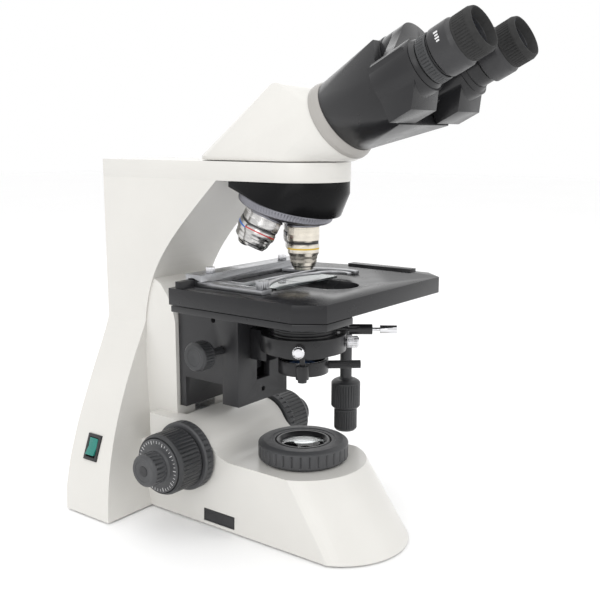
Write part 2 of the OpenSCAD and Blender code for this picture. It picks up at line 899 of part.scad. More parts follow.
module condenser_knob() {
  color(black)
    on_axis()
      union() {
        rod_x(3, -50, 40, cond_knob_y, cond_knob_z);
        rod_x(cond_pinion - 0.7, -7, 7, cond_knob_y, cond_knob_z);
        translate([-5, cond_knob_y, cond_knob_z]) rotate([0, 90, 0]) gear_teeth(cond_pinion, 10, 20);
        translate([-48, cond_knob_y, cond_knob_z]) rotate([0, -90, 0]) fluted(11.5, 12, 28, 0.8);
        translate([-60, cond_knob_y, cond_knob_z])
          rotate([0, -90, 0]) cylinder(r1 = 11, r2 = 9.8, h = 1.4);
        translate([36, cond_knob_y, cond_knob_z]) rotate([0, 90, 0]) fluted(9.5, 9, 24, 0.8);
      }
}

module condenser_body() {
  color(black)
    on_axis()
      difference() {
        union() {
          translate([0, 0, 141]) cylinder(r = 22, h = 5, $fn = 64);
          translate([0, 0, 145.5]) cylinder(r = 26, h = 18, $fn = 64);
          translate([0, 0, 163.4]) cylinder(r1 = 26, r2 = 20, h = 9, $fn = 64);
          translate([0, 0, 172.3]) cylinder(r1 = 17, r2 = 14, h = 8, $fn = 64);
          // pivot of the swinging filter holder
          rotate(filter_a) translate([23.6, 0, 125]) cylinder(r = 2, h = 21, $fn = 32);
          rotate(filter_a) translate([23.6, 0, 124.4]) cylinder(r = 3.4, h = 2.2, $fn = 32);
        }
        translate([0, 0, 130]) cylinder(r = 10, h = 60, $fn = 48);
        translate([0, 0, 176]) cylinder(r = 11.05, h = 10, $fn = 48);
        // slot of the iris lever
        difference() {
          translate([0, 0, 159]) cylinder(r = 30, h = 2.9, $fn = 64);
          translate([0, 0, 158]) cylinder(r = 19, h = 5, $fn = 64);
        }
      }
}

module condenser_lens() {
  color(glass_c)
    on_axis()
      translate([0, 0, 176])
        intersection() {
          cylinder(r = 11, h = 5.4, $fn = 48);
          translate([0, 0, -19]) sphere(r = 24.4, $fn = 80);
        }
}

iris_a = -54;

module condenser_iris() {
  color(black)
    on_axis()
      union() {
        translate([0, 0, 159.2])
          difference() {
            cylinder(r = 25.6, h = 2.4, $fn = 64);
            translate([0, 0, -1]) cylinder(r = 19.06, h = 5, $fn = 64);
          }
        rotate(iris_a)
          union() {
            translate([24, -2.4, 159.3]) cube([12, 4.8, 2.2]);
            translate([35, 0, 160.4]) rotate([0, 90, 0]) cylinder(r = 4, h = 18, $fn = 32);
            translate([52.9, 0, 160.4]) rotate([0, 90, 0]) cylinder(r = 1.4, h = 6, $fn = 24);
            translate([58.8, 0, 160.4]) rotate([0, 90, 0]) cylinder(r = 3.2, h = 13, $fn = 32);
          }
      }
}

cond_screw_a = [212, 300];

module condenser_screws() {
  color(chrome_c)
    on_axis()
      for (a = cond_screw_a)
        rotate(a)
          translate([0, 0, 151.5])
            rotate([0, 90, 0])
              union() {
                translate([0, 0, 26.2]) cylinder(r = 2, h = 14, $fn = 24);
                translate([0, 0, 34]) fluted(4.6, 8, 20, 0.5);
                translate([0, 0, 42]) cylinder(r1 = 4.2, r2 = 3.2, h = 1, $fn = 32);
              }
}

filter_a = 215;

module filter_holder() {
  color(black)
    on_axis()
      difference() {
        union() {
          translate([0, 0, 127]) cylinder(r = 19.5, h = 10.4, $fn = 64);
          rotate(filter_a) translate([23.6, 0, 127]) cylinder(r = 5, h = 10.4, $fn = 32);
          rotate(-50) translate([18.5, 0, 132]) rotate([0, 90, 0]) fluted(3.2, 26, 16, 0.4);
        }
        translate([0, 0, 126]) cylinder(r = 14, h = 20, $fn = 64);
        translate([0, 0, 130]) cylinder(r = 17.05, h = 20, $fn = 64);
        rotate(filter_a) translate([23.6, 0, 126]) cylinder(r = 2.06, h = 20, $fn = 32);
      }
}

module filter_glass() {
  color([0.45, 0.6, 0.85])
    on_axis() translate([0, 0, 130]) cylinder(r = 16.9, h = 3, $fn = 64);
}

// ---------- nosepiece ----------

module nosepiece_shell() {
  color(black)
    on_axis()
      difference() {
        hull() {
          translate([0, 0, seam_z - 9])
            linear_extrude(8.7)
              union() {
                circle(r = arm_half_w - 0.6, $fn = 64);
                translate([-arm_half_w + 0.6, 0]) square([2 * arm_half_w - 1.2, 44]);
              }
          turret_frame() translate([0, -3, rim_z]) cylinder(r = 40, h = 1, $fn = 64);
        }
        turret_frame() translate([-60, -60, rim_z - 60]) cube([120, 120, 60]);
        turret_frame() translate([0, 0, rim_z - 5]) cylinder(r = 32.5, h = 8.4, $fn = 64);
        turret_frame() translate([0, 0, rim_z - 5]) cylinder(r = 6.05, h = 20, $fn = 40);
        translate([0, 0, 230]) cylinder(r = 9, h = 60, $fn = 48);
      }
}

module turret() {
  color(chrome_c)
    on_axis()
      turret_frame()
        difference() {
          union() {
            rotate_extrude($fn = 80)
              polygon([
                [0, (8 - objective_ring) * tan(turret_tilt)],
                [8, (8 - objective_ring) * tan(turret_tilt)],
                [turret_r - 1, (turret_r - 1 - objective_ring) * tan(turret_tilt)],
                [turret_r, (turret_r - objective_ring) * tan(turret_tilt) + 1],
                [turret_r, rim_z - 1.2], [turret_r - 0.8, rim_z - 0.4],
                [31.8, rim_z - 0.4], [31.8, rim_z + 2.6], [0, rim_z + 2.6]
              ]);
            translate([0, 0, rim_z]) cylinder(r = 6, h = 13, $fn = 40);
          }
          for (i = [0 : 3]) objective_place(i)
            translate([0, 0, -5]) cylinder(r = 10.08, h = 10, $fn = 48);
          for (i = [0 : 3]) objective_place(i)
            translate([0, 0, -5]) cylinder(r = 8, h = 60, $fn = 48);
        }
}

// Frame of one objective: Z points down along it from the shoulder.
module objective_place(i) {
  rotate(i * 90)
    translate([0, -objective_ring, 0])
      rotate([-turret_tilt, 0, 0])
        rotate([180, 0, 0])
          children();
}

// Objective turned from stepped sections: [radius, radius, length].
module objective(length, nose_r) {
  difference() {
    rotate_extrude($fn = 56)
      polygon([
        [0, -4.6], [10, -4.6], [10, 0], [12, 0.1], [12, length * 0.34],
        [11.5, length * 0.36], [11.5, length * 0.42], [12, length * 0.44],
        [12, length * 0.62], [10.6, length * 0.68], [10.2, length * 0.82],
        [nose_r + 1.6, length * 0.9], [nose_r, length], [0, length]
      ]);
    translate([0, 0, -5]) cylinder(r = 7, h = length * 0.8 + 5, $fn = 40);
    translate([0, 0, length * 0.7]) cylinder(r = nose_r * 0.55, h = length, $fn = 32);
  }
}

module objective_4x() {
  color(chrome_c) on_axis() turret_frame() objective_place(3) objective(25, 7.5);
}

module objective_10x() {
  color(chrome_c) on_axis() turret_frame() objective_place(0) objective(34, 7);
}

module objective_40x() {
  color(chrome_c) on_axis() turret_frame() objective_place(2) objective(36.5, 5);
}

module objective_100x() {
  color(chrome_c) on_axis() turret_frame() objective_place(1) objective(36.5, 4.5);
}

// ---------- binocular head ----------

module head_housing() {
  color(white)
    on_axis()
      difference() {
        union() {
          hull() {
            translate([0, 0, plate_z + 0.8])
              linear_extrude(3)
                union() {
                  circle(r = 33.5, $fn = 64);
                  translate([0, 62]) circle(r = 30, $fn = 64);
                }
            joint_frame() translate([0, 0, -13.3]) cylinder(r = 29.5, h = 4, $fn = 64);
            rod_x(10, -12, 12, 17, 335);
          }
          translate([0, 0, plate_z - 4.6]) cylinder(r = 26.7, h = 6, $fn = 64);
        }
        translate([0, 0, plate_z - 6]) cylinder(r = 18, h = 22, $fn = 64);
        // groove of the dovetail for the clamping screw
        translate([0, 0, plate_z - 3])
          rotate_extrude($fn = 64) polygon([[25.4, -0.6], [28, -1.6], [28, 1.6], [25.4, 0.6]]);
        joint_frame() translate([0, 0, -24]) cylinder(r = 20, h = 30, $fn = 48);
      }
}

module head_ring() {
  color([0.65, 0.62, 0.63])
    on_axis()
      joint_frame()
        difference() {
          union() {
            translate([0, 0, -9]) cylinder(r = 30.6, h = 4, $fn = 80);
            translate([0, 0, -5.1]) cylinder(r1 = 30.6, r2 = 29, h = 5.1, $fn = 80);
          }
          translate([0, 0, -10]) cylinder(r = 20, h = 20, $fn = 48);
        }
}

module head_screw() {
  color(steel)
    on_axis()
      union() {
        rod_x(2, 27.4, 38.4, 0, plate_z - 7);
        translate([36, 0, plate_z - 7]) rotate([0, 90, 0]) fluted(4, 5.5, 16, 0.5);
      }
}

// Outline of the fixed body behind the folding arms.
module tube_body() {
  color(black)
    on_axis()
      difference() {
        union() {
          hull() {
            joint_frame() translate([0, 0, 0.1]) cylinder(r = 28.4, h = 1, $fn = 80);
            head_frame()
              translate([0, 0, 35.4])
                linear_extrude(1)
                  polygon([
                    [-33, -30], [33, -30], [38, -25], [38, 4], [22, 32],
                    [-22, 32], [-38, 4], [-38, -25]
                  ]);
          }
          head_frame() translate([0, fold_v, 30]) cylinder(r = 22.4, h = 7.2, $fn = 64);
        }
        head_frame() {
          translate([0, 5, -22]) cylinder(r = 18, h = 48, $fn = 48);
          translate([0, fold_v, 30]) cylinder(r = 5.05, h = 10, $fn = 32);
          for (side = [-1, 1])
            translate([side * eye_half * 0.62, -1, 24]) cylinder(r = 9, h = 20, $fn = 32);
        }
      }
}

// Frame of one folded arm: the hinge is at the origin, the tube lies at +X.
module fold_frame(side) {
  translate([0, fold_v, 0])
    mirror([side < 0 ? 1 : 0, 0, 0])
      rotate(-fold_a) children();
}

// Flat body of an arm from its hinge disc to its tube disc.
module arm_body(h) {
  union() {
    cylinder(r = 22, h = h, $fn = 64);
    linear_extrude(h)
      polygon([[0, -21.4], [fold_r, 0.6 - tube_disc_r], [fold_r, tube_disc_r - 0.6], [0, 21.4]]);
  }
}

// Arm whose own hinge disc runs from z0 to z1; the disc of the other arm
// takes the layer from z2 to z3.
module prism_arm(z0, z1, z2, z3) {
  difference() {
    union() {
      translate([0, 0, z0]) arm_body(z1 - z0);
      translate([fold_r, 0, layer_0]) cylinder(r = tube_disc_r, h = layer_3 - layer_0, $fn = 64);
      // prism housing under the tube
      rotate(fold_a)
        translate([0, -fold_v, 0])
          side_sweep(15, 47)
            polygon([[-29.5, layer_0], [8, layer_0], [8, 65], [-10, 66], [-16, 64], [-29.5, 55]]);
      translate([fold_r, 0, layer_3 - 0.5]) cylinder(r1 = 17.5, r2 = 15.5, h = 3.5, $fn = 64);
      translate([fold_r, 0, layer_3]) cylinder(r = 14.5, h = 12, $fn = 64);
    }
    translate([0, 0, z2]) cylinder(r = 23.2, h = z3 - z2, $fn = 64);
    translate([0, 0, z0 - 1]) cylinder(r = 5.05, h = z1 - z0 + 2, $fn = 32);
    translate([fold_r, 0, layer_0 + 6]) cylinder(r = 11.65, h = 60, $fn = 48);
    translate([fold_r, 0, layer_3 + 1]) cylinder(r = 12.05, h = 60, $fn = 48);
  }
}

module prism_arm_left() {
  color(black) on_axis() head_frame() fold_frame(-1) prism_arm(layer_2, hinge_top, layer_0 - 1, layer_2 - 0.1);
}

module prism_arm_right() {
  color(black) on_axis() head_frame() fold_frame(1) prism_arm(layer_0, layer_1, layer_1 + 0.1, hinge_top + 2.6);
}

// Axle on which both arms fold.
module fold_axle() {
  color(steel)
    on_axis()
      head_frame()
        translate([0, fold_v, 0])
          union() {
            translate([0, 0, 30.2]) cylinder(r = 5, h = hinge_top - 29.8, $fn = 32);
            translate([0, 0, hinge_top + 0.3]) cylinder(r1 = 9, r2 = 8, h = 1.6, $fn = 48);
          }
}

module dioptre_ring() {
  color(black)
    on_axis()
      head_frame()
        fold_frame(-1)
          translate([fold_r, 0, layer_3 + 3.6])
            difference() {
              fluted(16.2, 7.6, 40, 0.6);
              translate([0, 0, -1]) cylinder(r = 14.56, h = 12, $fn = 64);
            }
}

// Eyepiece in the frame of its arm.
module eyepiece() {
  translate([fold_r, 0, 0])
    difference() {
      union() {
        translate([0, 0, layer_3 - 8]) cylinder(r = 11.6, h = 21, $fn = 48);
        translate([0, 0, layer_3 + 12.6]) cylinder(r = 16.4, h = 15, $fn = 64);
        translate([0, 0, layer_3 + 27.5]) cylinder(r1 = 16.4, r2 = 15.2, h = 2, $fn = 64);
        translate([0, 0, layer_3 + 29.4]) cylinder(r = 15.4, h = 12, $fn = 64);
        translate([0, 0, layer_3 + 41.3])
          cylinder(r1 = 15.4, r2 = 14, h = eye_reach - layer_3 - 41.3, $fn = 64);
      }
      translate([0, 0, layer_3 - 9]) cylinder(r = 9.5, h = 40, $fn = 48);
      translate([0, 0, layer_3 + 30]) cylinder(r = 11.05, h = 8, $fn = 48);
      translate([0, 0, layer_3 + 37.9])
        cylinder(r1 = 11.05, r2 = 13, h = eye_reach - layer_3 - 37.8, $fn = 48);
    }
}

module eyepiece_left() {
  color(black) on_axis() head_frame() fold_frame(-1) eyepiece();
}

module eyepiece_right() {
  color(black) on_axis() head_frame() fold_frame(1) eyepiece();
}

module eye_lens() {
  translate([fold_r, 0, layer_3 + 31])
    intersection() {
      cylinder(r = 11, h = 6.8, $fn = 48);
      translate([0, 0, -18]) sphere(r = 24.6, $fn = 64);
    }
}

module eye_lens_left() {
  color(glass_c) on_axis() head_frame() fold_frame(-1) eye_lens();
}

module eye_lens_right() {
  color(glass_c) on_axis() head_frame() fold_frame(1) eye_lens();
}

// ---------- assembly ----------

stand_casting();
base_plate();
rubber_feet();
top_plate();
name_badge();
field_lens_tube();
field_lens();
field_ring();
lamp_mirror();
lamp_socket();
lamp_bulb();
power_bezel();
power_rocker();
power_inlet();
circuit_board();
brightness_dial();
coarse_shaft();
coarse_knob_left();
coarse_knob_right();
fine_shaft();
fine_knob_left();
fine_knob_right();
tension_ring();
limit_ring();
focus_slide();
stage_bracket();
stage_base();
stage_top();
stage_drive_knob_y();
stage_drive_knob_x();
slide_carriage();
slide_holder_screws();
slide_finger();
glass_slide();
condenser_carrier();
condenser_knob();
condenser_body();
condenser_lens();
condenser_iris();
condenser_screws();
filter_holder();
filter_glass();
nosepiece_shell();
turret();
objective_4x();
objective_10x();
objective_40x();
objective_100x();
head_housing();
head_ring();
head_screw();
tube_body();
fold_axle();
prism_arm_left();
prism_arm_right();
dioptre_ring();
eyepiece_left();
eyepiece_right();
eye_lens_left();
eye_lens_right();
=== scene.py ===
import json
import math
import bmesh
import bpy
import numpy as np
from mathutils import Matrix, Vector


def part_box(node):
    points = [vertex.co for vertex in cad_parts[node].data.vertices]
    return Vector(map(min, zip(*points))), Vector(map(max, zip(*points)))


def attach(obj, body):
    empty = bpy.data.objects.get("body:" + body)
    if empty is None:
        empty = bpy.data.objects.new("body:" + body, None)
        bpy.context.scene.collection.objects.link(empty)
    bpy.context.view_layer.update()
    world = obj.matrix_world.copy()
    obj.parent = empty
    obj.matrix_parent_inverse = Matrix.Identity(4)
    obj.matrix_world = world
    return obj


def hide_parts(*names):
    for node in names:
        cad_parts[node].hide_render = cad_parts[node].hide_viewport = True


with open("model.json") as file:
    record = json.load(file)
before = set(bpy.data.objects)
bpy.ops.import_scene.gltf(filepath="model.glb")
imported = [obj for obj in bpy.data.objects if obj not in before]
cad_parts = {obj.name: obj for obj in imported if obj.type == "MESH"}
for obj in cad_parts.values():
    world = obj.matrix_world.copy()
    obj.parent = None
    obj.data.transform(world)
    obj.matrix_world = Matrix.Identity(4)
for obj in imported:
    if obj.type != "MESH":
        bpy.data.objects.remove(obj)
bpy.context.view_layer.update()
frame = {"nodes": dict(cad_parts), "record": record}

RECORD = frame["record"]
NODES = frame["nodes"]
JOINTS = {j["name"]: j for j in RECORD["behaviour"]["joints"]}
BODY_OF = {n: b for b, ns in RECORD["behaviour"]["bodies"].items() for n in ns}
MM = 0.001


def centre(node):
    a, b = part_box(node)
    return (a + b) / 2


def span(node):
    a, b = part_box(node)
    return b - a


AXIS = Vector((0, centre("field_lens").y, 0))


def frame_at(origin, z_axis, x_hint=(1, 0, 0)):
    """A matrix whose Z runs along z_axis and whose X lies nearest to x_hint. Its unit is a millimetre."""
    z = Vector(z_axis).normalized()
    x = Vector(x_hint)
    x = (x - z * x.dot(z)).normalized()
    y = z.cross(x)
    m = Matrix((x, y, z)).transposed().to_4x4()
    m.translation = origin
    return m @ Matrix.Scale(MM, 4)


# ---------- camera and light ----------

CAMERA_LENS = 53.26
CAMERA_PLACE = (-0.534, -0.4022, 0.3065)
CAMERA_PITCH = 79.54
CAMERA_HEADING = -52.79

scene = bpy.context.scene
scene.view_settings.view_transform = "Standard"
scene.view_settings.look = "None"

cam_data = bpy.data.cameras.new("camera")
cam_data.sensor_width = 36.0
cam_data.lens = CAMERA_LENS
cam_data.clip_end = 20
camera = bpy.data.objects.new("camera", cam_data)
scene.collection.objects.link(camera)
camera.location = AXIS + Vector(CAMERA_PLACE)
camera.rotation_euler = (math.radians(CAMERA_PITCH), 0, math.radians(CAMERA_HEADING))
scene.camera = camera


def area_light(name, place, aim, size, power):
    """A soft box in metres and watts, turned towards a point."""
    data = bpy.data.lights.new(name, "AREA")
    data.shape = "RECTANGLE"
    data.size, data.size_y = size
    data.energy = power
    lamp = bpy.data.objects.new(name, data)
    scene.collection.objects.link(lamp)
    lamp.location = place
    lamp.rotation_euler = (Vector(aim) - Vector(place)).to_track_quat("-Z", "Y").to_euler()


area_light("top_box", (-0.15, -0.25, 1.45), (0, 0, 0.15), (1.5, 1.5), 6)
area_light("key_box", (-1.5, -0.55, 0.95), (0, 0, 0.2), (1.1, 1.1), 6)
area_light("front_box", (0.35, -1.6, 0.7), (0, 0, 0.2), (1.2, 0.9), 2.5)
area_light("rear_box", (0.9, 1.1, 1.0), (0, 0, 0.2), (1.2, 0.9), 2)

world = bpy.data.worlds.new("studio")
scene.world = world
world.use_nodes = True
sky = world.node_tree.nodes["Background"]
sky.inputs["Color"].default_value = (1, 1, 1, 1)
sky.inputs["Strength"].default_value = 1.0


# ---------- materials ----------

def principled(name, colour, rough, metal=0.0, **sockets):
    """A Principled material and its shader; other sockets are named with underscores."""
    m = bpy.data.materials.new(name)
    m.use_nodes = True
    b = m.node_tree.nodes["Principled BSDF"]
    b.inputs["Base Color"].default_value = (*colour, 1)
    b.inputs["Roughness"].default_value = rough
    b.inputs["Metallic"].default_value = metal
    for k, v in sockets.items():
        b.inputs[k.replace("_", " ")].default_value = v
    return m, b


def node(m, kind):
    return m.node_tree.nodes.new(kind)


def wire(m, a, b):
    m.node_tree.links.new(a, b)


def object_coords(m, scale):
    c = node(m, "ShaderNodeTexCoord")
    p = node(m, "ShaderNodeMapping")
    p.inputs["Scale"].default_value = scale
    wire(m, c.outputs["Object"], p.inputs["Vector"])
    return p.outputs["Vector"]


def noise(m, vector, scale, detail=3.0, rough=0.55):
    n = node(m, "ShaderNodeTexNoise")
    n.inputs["Scale"].default_value = scale
    n.inputs["Detail"].default_value = detail
    n.inputs["Roughness"].default_value = rough
    wire(m, vector, n.inputs["Vector"])
    return n.outputs["Fac"]


def ramp(m, value, stops):
    """A colour ramp; each stop is (position, colour)."""
    r = node(m, "ShaderNodeValToRGB")
    while len(r.color_ramp.elements) < len(stops):
        r.color_ramp.elements.new(0.5)
    for e, (p, c) in zip(r.color_ramp.elements, stops):
        e.position = p
        e.color = (*c, 1)
    wire(m, value, r.inputs["Fac"])
    return r.outputs["Color"]


def to_range(m, value, lo, hi, a, b):
    """Maps the values a to b onto lo to hi."""
    r = node(m, "ShaderNodeMapRange")
    r.inputs["From Min"].default_value = a
    r.inputs["From Max"].default_value = b
    r.inputs["To Min"].default_value = lo
    r.inputs["To Max"].default_value = hi
    wire(m, value, r.inputs["Value"])
    return r.outputs["Result"]


def bump(m, b, height, strength, distance):
    n = node(m, "ShaderNodeBump")
    n.inputs["Strength"].default_value = strength
    n.inputs["Distance"].default_value = distance
    wire(m, height, n.inputs["Height"])
    wire(m, n.outputs["Normal"], b.inputs["Normal"])


def paint(name, colour, rough, peel=0.25, mottle=0.04, coat=0.0, scale=900, shine=0.5):
    """Sprayed enamel: fine orange peel, faint mottling and slightly uneven gloss."""
    m, b = principled(name, colour, rough, Coat_Weight=coat, Coat_Roughness=0.12, Specular_IOR_Level=shine)
    v = object_coords(m, (1, 1, 1))
    dark = tuple(c * (1 - mottle * 2) for c in colour)
    light = tuple(min(1, c * (1 + mottle)) for c in colour)
    wire(m, ramp(m, noise(m, v, 22, 4), [(0.3, dark), (0.7, light)]), b.inputs["Base Color"])
    wire(m, to_range(m, noise(m, v, 60, 3), rough - 0.04, rough + 0.05, 0.3, 0.7), b.inputs["Roughness"])
    bump(m, b, noise(m, v, scale, 2), peel, 0.0002)
    return m


def moulded(name, colour, rough, grain=1600, depth=0.5):
    """Moulded plastic with a spark-eroded grain."""
    m, b = principled(name, colour, rough)
    v = object_coords(m, (1, 1, 1))
    cloud = noise(m, v, 35, 4)
    tone = ramp(m, cloud, [(0.35, tuple(c * 0.9 for c in colour)), (0.65, tuple(c * 1.08 for c in colour))])
    wire(m, tone, b.inputs["Base Color"])
    wire(m, to_range(m, noise(m, v, 300, 3), rough - 0.05, rough + 0.08, 0.3, 0.7), b.inputs["Roughness"])
    bump(m, b, noise(m, v, grain, 2), depth, 0.00012)
    return m


def machined(name, colour, rough, streak=(1, 1, 60), depth=0.3):
    """Turned or ground metal with fine tool marks."""
    m, b = principled(name, colour, rough, 1.0)
    v = object_coords(m, streak)
    lines = noise(m, v, 90, 4, 0.6)
    cloud = noise(m, object_coords(m, (1, 1, 1)), 40, 3)
    tone = ramp(m, cloud, [(0.3, tuple(c * 0.86 for c in colour)), (0.7, colour)])
    wire(m, tone, b.inputs["Base Color"])
    wire(m, to_range(m, lines, rough - 0.08, rough + 0.12, 0.3, 0.7), b.inputs["Roughness"])
    bump(m, b, lines, depth, 0.00008)
    return m


def glass(name, colour, **more):
    """Clear or tinted glass with faint smears."""
    rough = 0.02
    m, b = principled(name, colour, rough, Transmission_Weight=1.0, IOR=1.5, **more)
    v = object_coords(m, (1, 1, 1))
    wire(m, to_range(m, noise(m, v, 50, 4), rough, rough + 0.04, 0.45, 0.75), b.inputs["Roughness"])
    return m


FINE_TURNING = (1, 1, 400)
MAT = {
    "enamel": paint("enamel", (0.665, 0.652, 0.62), 0.34, peel=0.12, mottle=0.01, coat=0.2),
    "grey_paint": paint("grey_paint", (0.36, 0.345, 0.325), 0.4, peel=0.15),
    "black_paint": paint("black_paint", (0.014, 0.014, 0.0155), 0.3,
                         peel=0.12, mottle=0.08, coat=0.1, shine=0.35),
    "shell_paint": paint("shell_paint", (0.006, 0.006, 0.0065), 0.26, peel=0.1, mottle=0.08, shine=0.1),
    "stage_coat": paint("stage_coat", (0.016, 0.016, 0.0175), 0.24,
                        peel=0.05, mottle=0.06, scale=1500, shine=0.28),
    "crinkle": paint("crinkle", (0.02, 0.02, 0.022), 0.42, peel=0.35, mottle=0.05, scale=2200),
    "plastic": moulded("plastic", (0.02, 0.02, 0.022), 0.48),
    "plastic_grey": moulded("plastic_grey", (0.05, 0.051, 0.054), 0.46),
    "knob": moulded("knob", (0.028, 0.029, 0.031), 0.42),
    "rubber": moulded("rubber", (0.014, 0.014, 0.014), 0.75, grain=900, depth=0.7),
    "steel": machined("steel", (0.56, 0.565, 0.58), 0.26),
    "nickel": machined("nickel", (0.42, 0.425, 0.44), 0.3, depth=0.2),
    "chrome": machined("chrome", (0.72, 0.72, 0.74), 0.12, depth=0.1),
    "turret_metal": machined("turret_metal", (0.27, 0.27, 0.3), 0.34),
    "objective_metal": machined("objective_metal", (0.6, 0.59, 0.58), 0.2, FINE_TURNING, 0.15),
    # the warm tint of this metal is a painted warm reflection, used on the 10x objective's barrel
    "metal_painted_warm_reflection": machined("metal_painted_warm_reflection", (0.78, 0.73, 0.64), 0.24, FINE_TURNING, 0.15),
    "groove": paint("groove", (0.02, 0.02, 0.02), 0.5),
    "eyepiece_shell": moulded("eyepiece_shell", (0.022, 0.022, 0.024), 0.4, depth=0.3),
    "mirror": machined("mirror", (0.92, 0.92, 0.93), 0.04, depth=0.02),
    "ceramic": paint("ceramic", (0.78, 0.77, 0.72), 0.4, peel=0.3),
    "board": paint("board", (0.03, 0.16, 0.07), 0.35, peel=0.3, mottle=0.1),
    "lens": glass("lens", (0.93, 0.97, 0.97)),
    "coated": glass("coated", (0.8, 0.9, 0.95), Coat_Weight=0.5, Coat_Tint=(0.5, 0.7, 1.0, 1)),
    "slide_glass": glass("slide_glass", (0.9, 0.98, 0.96)),
    "blue_filter": glass("blue_filter", (0.25, 0.45, 0.9)),
    "bulb": glass("bulb", (0.95, 0.95, 0.95)),
    "green": moulded("green", (0.02, 0.2, 0.165), 0.22, depth=0.1),
    "white_mark": moulded("white_mark", (0.7, 0.7, 0.7), 0.5, depth=0.1),
    "red_mark": moulded("red_mark", (0.6, 0.03, 0.03), 0.4, depth=0.1),
    "yellow_mark": moulded("yellow_mark", (0.75, 0.5, 0.03), 0.4, depth=0.1),
    "blue_mark": moulded("blue_mark", (0.03, 0.15, 0.55), 0.4, depth=0.1),
}


def floor_material():
    """Pale and almost even, with a faint drift of tone."""
    m, b = principled("floor", (0.96, 0.96, 0.96), 0.6)
    cloud = noise(m, object_coords(m, (1, 1, 1)), 3)
    tone = ramp(m, cloud, [(0.3, (0.985, 0.985, 0.985)), (0.7, (0.995, 0.995, 0.995))])
    wire(m, tone, b.inputs["Base Color"])
    return m


# ---------- mesh helpers ----------

def shade(obj, angle):
    """Smooth shading with hard edges where faces meet at more than the angle."""
    me = obj.data
    bm = bmesh.new()
    bm.from_mesh(me)
    for f in bm.faces:
        f.smooth = True
    for e in bm.edges:
        e.smooth = len(e.link_faces) == 2 and e.calc_face_angle(0) < math.radians(angle)
    bm.to_mesh(me)
    bm.free()


def make(name, verts, faces, material, matrix=None):
    """A new mesh object with outward faces."""
    me = bpy.data.meshes.new(name)
    me.from_pydata([tuple(v) for v in verts], [], [tuple(f) for f in faces])
    me.validate()
    obj = bpy.data.objects.new(name, me)
    scene.collection.objects.link(obj)
    if matrix is not None:
        me.transform(matrix)
    me.materials.append(material)
    bm = bmesh.new()
    bm.from_mesh(me)
    bmesh.ops.recalc_face_normals(bm, faces=bm.faces)
    bm.to_mesh(me)
    bm.free()
    shade(obj, 35)
    return obj


def apply_modifiers(obj):
    deps = bpy.context.evaluated_depsgraph_get()
    me = bpy.data.meshes.new_from_object(obj.evaluated_get(deps))
    obj.modifiers.clear()
    old = obj.data
    obj.data = me
    bpy.data.meshes.remove(old)


def fillet(points, steps):
    """Rounds the corners of a closed outline of (a, b) or (a, b, radius)."""
    out = []
    n = len(points)
    for i, p in enumerate(points):
        r = p[2] if len(p) > 2 else 0
        here = Vector((p[0], p[1]))
        if r <= 0:
            out.append((here.x, here.y))
            continue
        a = Vector(points[i - 1][:2]) - here
        b = Vector(points[(i + 1) % n][:2]) - here
        la, lb = a.length, b.length
        a.normalize()
        b.normalize()
        ang = math.acos(max(-1, min(1, a.dot(b))))
        if ang > math.pi - 0.02 or ang < 0.02:
            out.append((here.x, here.y))
            continue
        reach = min(r / math.tan(ang / 2), la * 0.48, lb * 0.48)
        r = reach * math.tan(ang / 2)
        mid = (a + b).normalized() * (r / math.sin(ang / 2))
        c = here + mid
        s, e = here + a * reach, here + b * reach
        a0 = math.atan2(s.y - c.y, s.x - c.x)
        a1 = math.atan2(e.y - c.y, e.x - c.x)
        d = (a1 - a0 + math.pi) % (2 * math.pi) - math.pi
        for k in range(steps + 1):
            t = a0 + d * k / steps
            out.append((c.x + r * math.cos(t), c.y + r * math.sin(t)))
    return out


def dressed(node_name, material, width):
    """The CAD node with its edges rounded to a width in millimetres, in a finer material."""
    me = NODES[node_name].data.copy()
    obj = bpy.data.objects.new("look_" + node_name, me)
    scene.collection.objects.link(obj)
    bm = bmesh.new()
    bm.from_mesh(me)
    bmesh.ops.remove_doubles(bm, verts=bm.verts, dist=2e-6)
    bmesh.ops.dissolve_limit(bm, angle_limit=math.radians(0.6), verts=bm.verts, edges=bm.edges)
    bm.to_mesh(me)
    bm.free()
    mod = obj.modifiers.new("bevel", "BEVEL")
    mod.width = width * MM
    mod.segments = 2
    mod.limit_method = "ANGLE"
    mod.angle_limit = math.radians(32)
    mod.miter_outer = "MITER_ARC"
    mod.use_clamp_overlap = True
    apply_modifiers(obj)
    obj.data.materials.clear()
    obj.data.materials.append(MAT[material])
    shade(obj, 32)
    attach(obj, BODY_OF[node_name])
    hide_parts(node_name)
    return obj


def keep(node_name, material):
    """The CAD node itself, with a finished material."""
    me = NODES[node_name].data
    if me.materials:
        for i in range(len(me.materials)):
            me.materials[i] = MAT[material]
    else:
        me.materials.append(MAT[material])


FLOOR_HALF = 6
corners = [(x * FLOOR_HALF, y * FLOOR_HALF, 0) for x, y in ((-1, -1), (1, -1), (1, 1), (-1, 1))]
floor = make("floor", corners, [(0, 1, 2, 3)], floor_material())


# ---------- turned and ribbed pieces ----------

